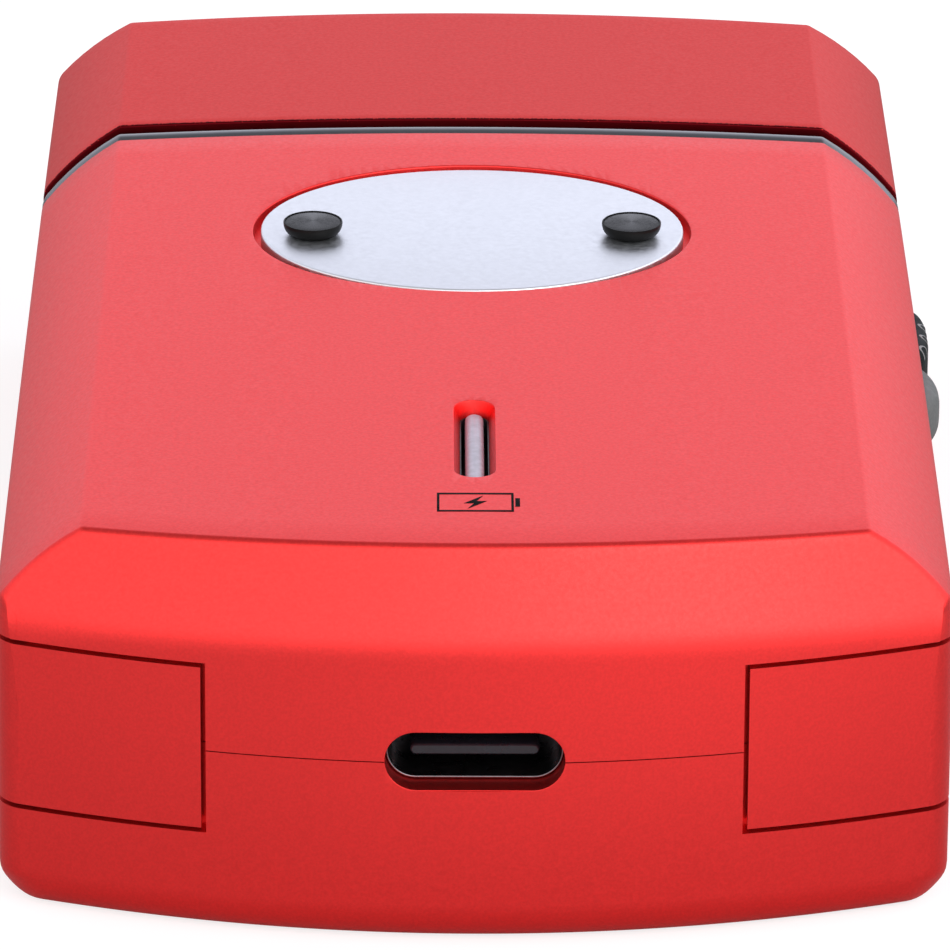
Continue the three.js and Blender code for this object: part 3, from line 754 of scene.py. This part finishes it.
def pad_surface(u, v):
    """The pad's height at u along it and v across it."""
    r = PAD_HEIGHT / 2
    half = PAD_LENGTH / 2 - r
    low, high = 0.0, 1.0
    for _ in range(14):
        s = (low + high) / 2
        outside = (max(abs(u) - half * s, 0) / (r * s)) ** 2 + (v / r) ** 2 / s > 1
        low, high = (s, high) if outside else (low, s)
    return HALF_WIDTH + 0.05 + lens_height(high, PAD_PROUD - 0.05, PAD_FULLNESS)


RIB_OFFSETS = (-2.7, -0.9, 0.9)
RIB = {"across": 3.24, "along": 1.3, "cut": -0.35, "squash": 0.9, "line": 0.08}
RIB_PROUD, RIB_SUNK = 0.03, -0.3


def slider_rib(name, offset):
    """A thin D-shaped rib that follows the pad, its straight side towards the charging end."""
    line = RIB["line"]
    rings = []
    for shrink, lift in ((0, RIB_SUNK), (0, RIB_PROUD), (line, RIB_PROUD), (line, RIB_SUNK)):
        ring = []
        for u, v in obround(RIB["across"] - 2 * shrink, RIB["along"] - 2 * shrink, 16):
            along = offset + max(v, RIB["cut"] + shrink) * RIB["squash"]
            ring.append((pad_surface(along, u) + lift, PAD_MIDDLE[1] + along, PAD_MIDDLE[2] + u))
        rings.append(ring)
    return loft(name, rings, sharp=60)


def button_dome():
    """The smooth button, its shank reaching through the wall."""
    proud = BUTTON_HIGH[0] - HALF_WIDTH
    foot = HALF_WIDTH - 2.0
    return side_lens("button_dome", BUTTON_MIDDLE, BUTTON_LENGTH, BUTTON_HEIGHT, proud, foot, 2.0)


def charge_mark():
    """A plain printed battery sign below the slot: an outline with its stud, and a bolt inside."""
    middle = NEAR_TIP + 8.4
    stretch, ink = 1.5, 0.015

    def flat(name, shape):
        rings = []
        for lift in (0.0, ink):
            rings.append([(x, middle + y * stretch, crown_z(x) + lift) for x, y in shape])
        return loft(name, rings)

    def bar(x0, x1, y0, y1):
        return [(x0, y0), (x1, y0), (x1, y1), (x0, y1)]

    w, h, line = 2.1, 0.9, 0.14
    bars = [
        bar(-w, w, h - line, h),
        bar(-w, w, -h, -h + line),
        bar(-w, -w + line, -h + line, h - line),
        bar(w - line, w, -h + line, h - line),
        bar(w + 0.08, w + 0.34, -0.4, 0.4),
    ]
    bolt = [(0.42, 0.62), (-0.62, -0.1), (-0.06, -0.1), (-0.42, -0.62), (0.62, 0.1), (0.06, 0.1)]
    pieces = [flat(f"charge_mark_{k}", shape) for k, shape in enumerate(bars)]
    return pieces + [flat("charge_mark_bolt", bolt)]


# ---------- materials ----------

# Sockets of a colour mix node, which share their names with its other kinds.
MIX_FACTOR, MIX_A, MIX_B, MIX_OUT = 0, 6, 7, 2


class Look:
    """A Principled material with short helpers for its nodes."""

    def __init__(self, name, colour, roughness, metallic=0.0, **inputs):
        self.material = bpy.data.materials.new(name)
        self.material.use_nodes = True
        self.tree = self.material.node_tree
        self.shader = self.tree.nodes["Principled BSDF"]
        self.set("Base Color", (*colour, 1))
        self.set("Roughness", roughness)
        self.set("Metallic", metallic)
        for key, value in inputs.items():
            self.set(key.replace("_", " "), value)
        self.place = self.node("ShaderNodeTexCoord").outputs["Object"]

    def set(self, socket, value):
        self.shader.inputs[socket].default_value = value

    def node(self, kind, **settings):
        made = self.tree.nodes.new(kind)
        for key, value in settings.items():
            if hasattr(made, key):
                setattr(made, key, value)
            else:
                made.inputs[key].default_value = value
        return made

    def join(self, out, into):
        self.tree.links.new(out, into)

    def noise(self, size, detail=2, stretch=(1, 1, 1)):
        """Noise whose grain is about `size` millimetres."""
        mapping = self.node("ShaderNodeMapping")
        mapping.inputs["Scale"].default_value = stretch
        self.join(self.place, mapping.inputs["Vector"])
        noise = self.node("ShaderNodeTexNoise", Scale=1 / (size * MM), Detail=detail)
        self.join(mapping.outputs["Vector"], noise.inputs["Vector"])
        return noise.outputs["Fac"]

    def spread(self, value, low, high, socket):
        """Maps the middle of a noise to a range and drives a shader socket with it."""
        ranged = self.node("ShaderNodeMapRange")
        ranged.inputs["From Min"].default_value = 0.3
        ranged.inputs["From Max"].default_value = 0.7
        ranged.inputs["To Min"].default_value = low
        ranged.inputs["To Max"].default_value = high
        self.join(value, ranged.inputs["Value"])
        self.join(ranged.outputs["Result"], self.shader.inputs[socket])

    def colours(self, value, low, high, near=0.35, far=0.65):
        """Blends two base colours between two levels of a value."""
        ramp = self.node("ShaderNodeValToRGB")
        ramp.color_ramp.elements[0].position = near
        ramp.color_ramp.elements[0].color = (*low, 1)
        ramp.color_ramp.elements[1].position = far
        ramp.color_ramp.elements[1].color = (*high, 1)
        self.join(value, ramp.inputs["Fac"])
        self.join(ramp.outputs["Color"], self.shader.inputs["Base Color"])

    def bump(self, height, strength, depth):
        """Bump from a 0 to 1 height, `depth` millimetres high."""
        bump = self.node("ShaderNodeBump", Strength=strength)
        bump.inputs["Distance"].default_value = depth * MM
        self.join(height, bump.inputs["Height"])
        self.join(bump.outputs["Normal"], self.shader.inputs["Normal"])


RED = np.array((0.82, 0.044, 0.042))
# Dark maroon painted on the cap's rim face as shade.
RIM_PAINTED_SHADE = (0.08, 0.002, 0.004)
CAP_DARKER = 0.8
CAP_RAG = 0.5  # how far the paint's edge wanders
FOIL_PITCH = 0.85  # between the foil's holes


def red_paint(name="red_satin", value=1.0):
    """Anodised red metal with a fine grain."""
    look = Look(name, tuple(RED * value), 0.42, 1.0)
    grain = look.noise(0.16, 3)
    look.colours(grain, tuple(RED * value * 0.95), tuple(RED * value * 1.04))
    look.spread(look.noise(0.25), 0.38, 0.46, "Roughness")
    look.bump(grain, 0.2, 0.016)
    return look


def cap_paint():
    """A slightly darker red, ending in a ragged line past which the cap's rim face is painted dark as
    shade.
    """
    look = red_paint("red_satin_cap", CAP_DARKER)
    look.set("Specular Tint", (0.93, 0.8, 0.78, 1))
    colour = look.shader.inputs["Base Color"].links[0].from_socket
    split = look.node("ShaderNodeSeparateXYZ")
    look.join(look.place, split.inputs["Vector"])
    ragged = look.node("ShaderNodeMath", operation="MULTIPLY_ADD")
    look.join(look.noise(0.12, 2), ragged.inputs[0])
    ragged.inputs[1].default_value = -CAP_RAG * MM
    look.join(split.outputs["Y"], ragged.inputs[2])
    edge = look.node("ShaderNodeMapRange")
    edge.inputs["From Min"].default_value = (CAP_START - 0.12) * MM
    edge.inputs["From Max"].default_value = (CAP_START - 0.1) * MM
    look.join(ragged.outputs["Value"], edge.inputs["Value"])
    # Past the ragged edge the rim is painted dark, standing in for shade.
    mix = look.node("ShaderNodeMix", data_type="RGBA")
    mix.inputs[MIX_A].default_value = (*RIM_PAINTED_SHADE, 1)
    look.join(edge.outputs["Result"], mix.inputs[MIX_FACTOR])
    look.join(colour, mix.inputs[MIX_B])
    look.join(mix.outputs[MIX_OUT], look.shader.inputs["Base Color"])
    return look


def turned_metal(name, colour, roughness):
    """Metal with the fine rings of a lathe, which stretch its highlights."""
    look = Look(name, colour, roughness, 1.0, Anisotropic=0.85)
    tangent = look.node("ShaderNodeTangent", direction_type="RADIAL", axis="Z")
    look.join(tangent.outputs["Tangent"], look.shader.inputs["Tangent"])
    look.spread(look.noise(0.2), roughness * 0.85, roughness * 1.15, "Roughness")
    return look.material


def plain(name, colour, roughness, metallic=0.0, grain=0.2, depth=0.01, shift=0.12, **inputs):
    """A moulded or metal finish with a fine grain in colour, roughness and height."""
    look = Look(name, colour, roughness, metallic, **inputs)
    fine = look.noise(grain, 3)
    darker = tuple(c * (1 - shift) for c in colour)
    lighter = tuple(min(c * (1 + shift), 1) for c in colour)
    look.colours(fine, darker, lighter)
    look.spread(look.noise(grain * 2.5), roughness * 0.85, min(roughness * 1.15, 1), "Roughness")
    look.bump(fine, 0.3, depth)
    return look.material


def perforated(name, colour, roughness):
    """A thin metal sheet with rows of small dark holes."""
    look = Look(name, colour, roughness, 1.0)
    cells = look.node("ShaderNodeTexVoronoi", Scale=1 / (FOIL_PITCH * MM), Randomness=0.15)
    look.join(look.place, cells.inputs["Vector"])
    hole = (0.01, 0.01, 0.01)
    look.colours(cells.outputs["Distance"], hole, colour, 0.27, 0.33)
    look.spread(look.noise(0.4), roughness * 0.85, roughness * 1.15, "Roughness")
    return look.material


def use(obj, material, slot):
    obj.data.materials.clear()
    obj.data.materials.append(material)


# ---------- assembly ----------

red = red_paint().material
red_cap = cap_paint().material
silver = plain("bright_silver", (0.17, 0.172, 0.178), 0.16, 1.0, 0.4, 0.001, 0.03)
badge_metal = plain("badge_satin", (0.73, 0.745, 0.775), 0.42, 1.0, 0.12, 0.001, 0.01)
screw_black = plain(
    "screw_black", (0.004, 0.004, 0.004), 0.4, 0.0, 0.3, 0.003, Specular_IOR_Level=0.1
)
turned_steel = turned_metal("turned_steel", (0.018, 0.018, 0.018), 0.28)
print_black = plain(
    "print_black", (0.003, 0.003, 0.003), 0.7, 0.0, 0.2, 0.002, Specular_IOR_Level=0.05
)
tongue_black = plain("tongue_black", (0.012, 0.011, 0.016), 0.3, 0.0, 0.3, 0.002)
# The socket's nickel is darkened as painted shade inside the opening.
nickel_painted_shade = plain("nickel_painted_shade", (0.16, 0.15, 0.16), 0.3, 1.0, 0.4, 0.002)
steel = plain("steel", (0.56, 0.57, 0.59), 0.3, 1.0, 0.3, 0.004)
black_plastic = plain("black_plastic", (0.02, 0.02, 0.022), 0.45, 0.0, 0.3, 0.01)
black_pad = plain(
    "black_pad", (0.006, 0.009, 0.009), 0.5, 0.0, 0.15, 0.008, Specular_IOR_Level=0.06
)
grey_plastic = plain(
    "grey_plastic", (0.11, 0.115, 0.112), 0.5, 0.0, 0.2, 0.004, Specular_IOR_Level=0.2
)
frosted = plain("frosted_pipe", (0.42, 0.41, 0.48), 0.4, 0.0, 0.5, 0.006, 0.1)
# The ribs are real raised lines; their lighter grey is painted highlight, standing in for light caught
# along their edges.
rib_painted_highlight = plain("rib_painted_highlight", (0.2, 0.205, 0.205), 0.5, 0.0, 0.2, 0.004)
motor_steel = plain("motor_steel", (0.62, 0.63, 0.65), 0.24, 1.0, 0.5, 0.003)
blade_steel = plain("blade_steel", (0.6, 0.61, 0.64), 0.18, 1.0, 0.2, 0.002)
tin = plain("switch_tin", (0.5, 0.5, 0.52), 0.4, 1.0, 0.3, 0.006)
rubber = plain("rubber", (0.012, 0.012, 0.013), 0.7, 0.0, 0.3, 0.01)
white_plastic = plain("white_plastic", (0.72, 0.72, 0.70), 0.45, 0.0, 0.3, 0.01, 0.05)
green = plain("solder_mask", (0.02, 0.12, 0.06), 0.4, 0.0, 0.6, 0.01)
wrap = plain("cell_wrap", (0.36, 0.38, 0.42), 0.35, 0.3, 0.6, 0.01)
gold = perforated("foil_gold", (0.72, 0.58, 0.34), 0.28)


def placed(obj, material, slot, body, *nodes):
    """Gives a piece its material and body, and the CAD nodes it stands in for; the slot is not used."""
    use(obj, material, slot)
    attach(obj, body)
    if nodes:
        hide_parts(*nodes)


front, back = body_shells()
placed(front, red, "red_shell", "housing", "front_shell")
placed(back, red, "red_shell", "housing", "back_shell")
placed(corner_cover(-1, "cover_left_skin"), red, "red_shell", "housing", "corner_cover_left")
placed(corner_cover(1, "cover_right_skin"), red, "red_shell", "housing", "corner_cover_right")
placed(cap_shell(), red_cap, "red_shell", "cap", "cap_shell")
placed(trim_bead(), silver, "trim_silver", "housing", "trim_ring")
placed(badge(), badge_metal, "badge_metal", "housing", "badge_plate")
for word in ("left", "right"):
    node = f"badge_screw_{word}"
    head, face = badge_screw(node)
    placed(head, screw_black, "dark_screw", "housing", node)
    placed(face, turned_steel, "dark_screw", "housing")
placed(slot_lining(), black_plastic, "black_plastic", "housing")
placed(light_bar(), frosted, "clear_pipe", "housing", "light_pipe")
# The socket's darker nickel is painted shade.
placed(receptacle(), nickel_painted_shade, "receptacle_steel", "housing", "usb_receptacle")
placed(tongue(), tongue_black, "black_plastic", "housing", "usb_tongue")
placed(slider_pad(), black_pad, "slider_black", "power_slider", "slider_grip")
# The ribs' lighter grey is painted highlight.
for k, offset in enumerate(RIB_OFFSETS):
    placed(slider_rib(f"slider_rib_{k}", offset), rib_painted_highlight, "slider_black", "power_slider")
placed(button_dome(), grey_plastic, "button_grey", "lock", "lock_button")
for piece in charge_mark():
    placed(piece, print_black, "black_plastic", "housing")


# Inner CAD pieces that get rounded edges (radius in millimetres), and those that only get a material.
SOFTENED = (
    ("foil_frame", 0.5, black_plastic, "black_plastic", "foil_cassette"),
    ("neck_collar", 0.3, black_plastic, "black_plastic", "housing"),
    ("motor_can", 0.6, motor_steel, "motor_steel", "housing"),
    ("battery_cell", 0.6, wrap, "cell_wrap", "housing"),
    ("bridge", 0.3, white_plastic, "white_plastic", "oscillator"),
)
for node, radius, material, slot, body in SOFTENED:
    placed(softened(node, radius), material, slot, body, node)

CARRIED = {
    rubber: ("neck_gasket", "battery_pad"),
    black_plastic: ("cap_liner", "motor_bracket", "slider_carrier", "tact_switch"),
    white_plastic: ("inner_frame", "status_led"),
    green: ("circuit_board",),
    gold: ("foil",),
    blade_steel: ("cutter_block",),
    tin: ("slide_switch",),
    steel: (
        "front_shell_screw_left",
        "front_shell_screw_right",
        "back_shell_screw_left",
        "back_shell_screw_right",
        "foil_spring_left",
        "foil_spring_right",
        "button_spring",
        "motor_shaft",
    ),
}
for material, nodes in CARRIED.items():
    for node in nodes:
        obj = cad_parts[node]
        obj.data.materials.clear()
        obj.data.materials.append(material)

# ---------- stage, light and camera ----------


FLOOR_SIZE = 3.0  # half of the floors' width, in metres


def floor(name, brightness, glow):
    size = FLOOR_SIZE
    corners = [(-size, -size, 0), (size, -size, 0), (size, size, 0), (-size, size, 0)]
    mesh = bpy.data.meshes.new(name)
    mesh.from_pydata(corners, [], [(0, 1, 2, 3)])
    made = link(bpy.data.objects.new(name, mesh))
    look = Look(name, (brightness, brightness, brightness), 1.0)
    look.set("Specular IOR Level", 0.0)
    look.set("Emission Color", (1, 1, 1, 1))
    look.set("Emission Strength", glow)
    mesh.materials.append(look.material)
    return made, look


def brighten_ahead(look, least, most):
    """Makes a floor glow more with distance in front of the charging end, and to the right."""
    split = look.node("ShaderNodeSeparateXYZ")
    look.join(look.place, split.inputs["Vector"])
    ahead = look.node("ShaderNodeMapRange")
    ahead.inputs["From Min"].default_value = (NEAR_TIP - 8) * MM
    ahead.inputs["From Max"].default_value = (NEAR_TIP - 42) * MM
    ahead.inputs["To Min"].default_value = least
    ahead.inputs["To Max"].default_value = most
    look.join(split.outputs["Y"], ahead.inputs["Value"])
    right = look.node("ShaderNodeMapRange")
    right.inputs["From Min"].default_value = -20 * MM
    right.inputs["From Max"].default_value = 25 * MM
    right.inputs["To Min"].default_value = 0.7
    right.inputs["To Max"].default_value = 1.5
    look.join(split.outputs["X"], right.inputs["Value"])
    glow = look.node("ShaderNodeMath", operation="MULTIPLY")
    look.join(ahead.outputs["Result"], glow.inputs[0])
    look.join(right.outputs["Result"], glow.inputs[1])
    look.join(glow.outputs["Value"], look.shader.inputs["Emission Strength"])


def stage():
    """One white floor for the camera, and a greyer one just below it that the object reflects."""
    seen, _ = floor("floor", 0.3, 0.75)
    seen.visible_glossy = False
    seen.visible_diffuse = False
    reflected, look = floor("floor_reflected", 0.6, 0.0)
    brighten_ahead(look, 0.0, 0.4)
    reflected.visible_camera = False
    reflected.visible_shadow = False
    reflected.location.z = -0.2 * MM


def area(name, place, target, size, power):
    """A rectangular lamp aimed at a point; place, target and size are in millimetres."""
    data = bpy.data.lights.new(name, "AREA")
    data.shape = "RECTANGLE"
    data.size, data.size_y = (side * MM for side in size)
    data.energy = power
    lamp = link(bpy.data.objects.new(name, data))
    lamp.location = tuple(c * MM for c in place)
    aim = Vector(tuple(t - p for t, p in zip(target, place)))
    lamp.rotation_euler = aim.to_track_quat("-Z", "Y").to_euler()


# Brightness of the studio against height, from straight down (-1) to straight up (1), beyond the
# charging end and beyond the cap.
GROUND = ((-1.0, 0.05), (-0.35, 0.12), (-0.05, 0.5))
NEAR_SKY = (*GROUND, (0.1, 1.4), (0.35, 2.5), (0.6, 1.9), (0.85, 0.5), (1.0, 0.4))
FAR_SKY = (*GROUND, (0.06, 1.02), (0.35, 1.35), (0.6, 1.05), (0.85, 0.45), (1.0, 0.4))
FAR_TINT = (0.98, 1.0, 1.14)
SKY_TOP = 2.5  # the brightest level, which the ramps are scaled to
RIGHT_GAIN = 0.22  # share by which the right is brighter than the middle


def studio():
    """A white surround, brighter beyond the charging end and on the right, darker overhead."""
    world = bpy.data.worlds.new("studio")
    bpy.context.scene.world = world
    world.use_nodes = True
    tree = world.node_tree
    join = tree.links.new
    direction = tree.nodes.new("ShaderNodeTexCoord")
    split = tree.nodes.new("ShaderNodeSeparateXYZ")
    join(direction.outputs["Generated"], split.inputs["Vector"])
    height = tree.nodes.new("ShaderNodeMapRange")
    height.inputs["From Min"].default_value = -1
    join(split.outputs["Z"], height.inputs["Value"])

    def sky(stops, tint):
        node = tree.nodes.new("ShaderNodeValToRGB")
        for _ in stops[2:]:
            node.color_ramp.elements.new(0.5)
        for element, (z, value) in zip(node.color_ramp.elements, stops):
            element.position = (z + 1) / 2
            element.color = (*(value / SKY_TOP * c for c in tint), 1)
        join(height.outputs["Result"], node.inputs["Fac"])
        return node.outputs["Color"]

    side = tree.nodes.new("ShaderNodeMapRange")
    side.inputs["From Min"].default_value = -0.5
    side.inputs["From Max"].default_value = 0.5
    join(split.outputs["Y"], side.inputs["Value"])
    mix = tree.nodes.new("ShaderNodeMix")
    mix.data_type = "RGBA"
    join(side.outputs["Result"], mix.inputs[MIX_FACTOR])
    join(sky(NEAR_SKY, (1, 1, 1)), mix.inputs[MIX_A])
    join(sky(FAR_SKY, FAR_TINT), mix.inputs[MIX_B])
    gain = tree.nodes.new("ShaderNodeMath")
    gain.operation = "MULTIPLY_ADD"
    join(split.outputs["X"], gain.inputs[0])
    gain.inputs[1].default_value = SKY_TOP * RIGHT_GAIN
    gain.inputs[2].default_value = SKY_TOP
    join(mix.outputs[MIX_OUT], tree.nodes["Background"].inputs["Color"])
    join(gain.outputs["Value"], tree.nodes["Background"].inputs["Strength"])


CAMERA_PLACE = (-2.90, -478.78, 202.12)
CAMERA_TURN = {"pitch": 21.963, "yaw": 0.3734, "roll": 0.3214}


def camera():
    """A long lens in front of the charging end, looking down along the shaver."""
    data = bpy.data.cameras.new("camera")
    data.lens = 330.4
    data.sensor_width = 36
    data.clip_start = 0.01
    cam = link(bpy.data.objects.new("camera", data))
    pitch, yaw, roll = (math.radians(CAMERA_TURN[key]) for key in ("pitch", "yaw", "roll"))
    turn = Matrix.Rotation(-yaw, 4, "Z") @ Matrix.Rotation(math.pi / 2 - pitch, 4, "X")
    turn = turn @ Matrix.Rotation(roll, 4, "Z")
    cam.matrix_world = Matrix.Translation(tuple(c * MM for c in CAMERA_PLACE)) @ turn
    bpy.context.scene.camera = cam
    bpy.context.scene.view_settings.view_transform = "Standard"


stage()
studio()
area("key", (180, -380, 320), (0, -10, 10), (300, 220), 0.6)
camera()
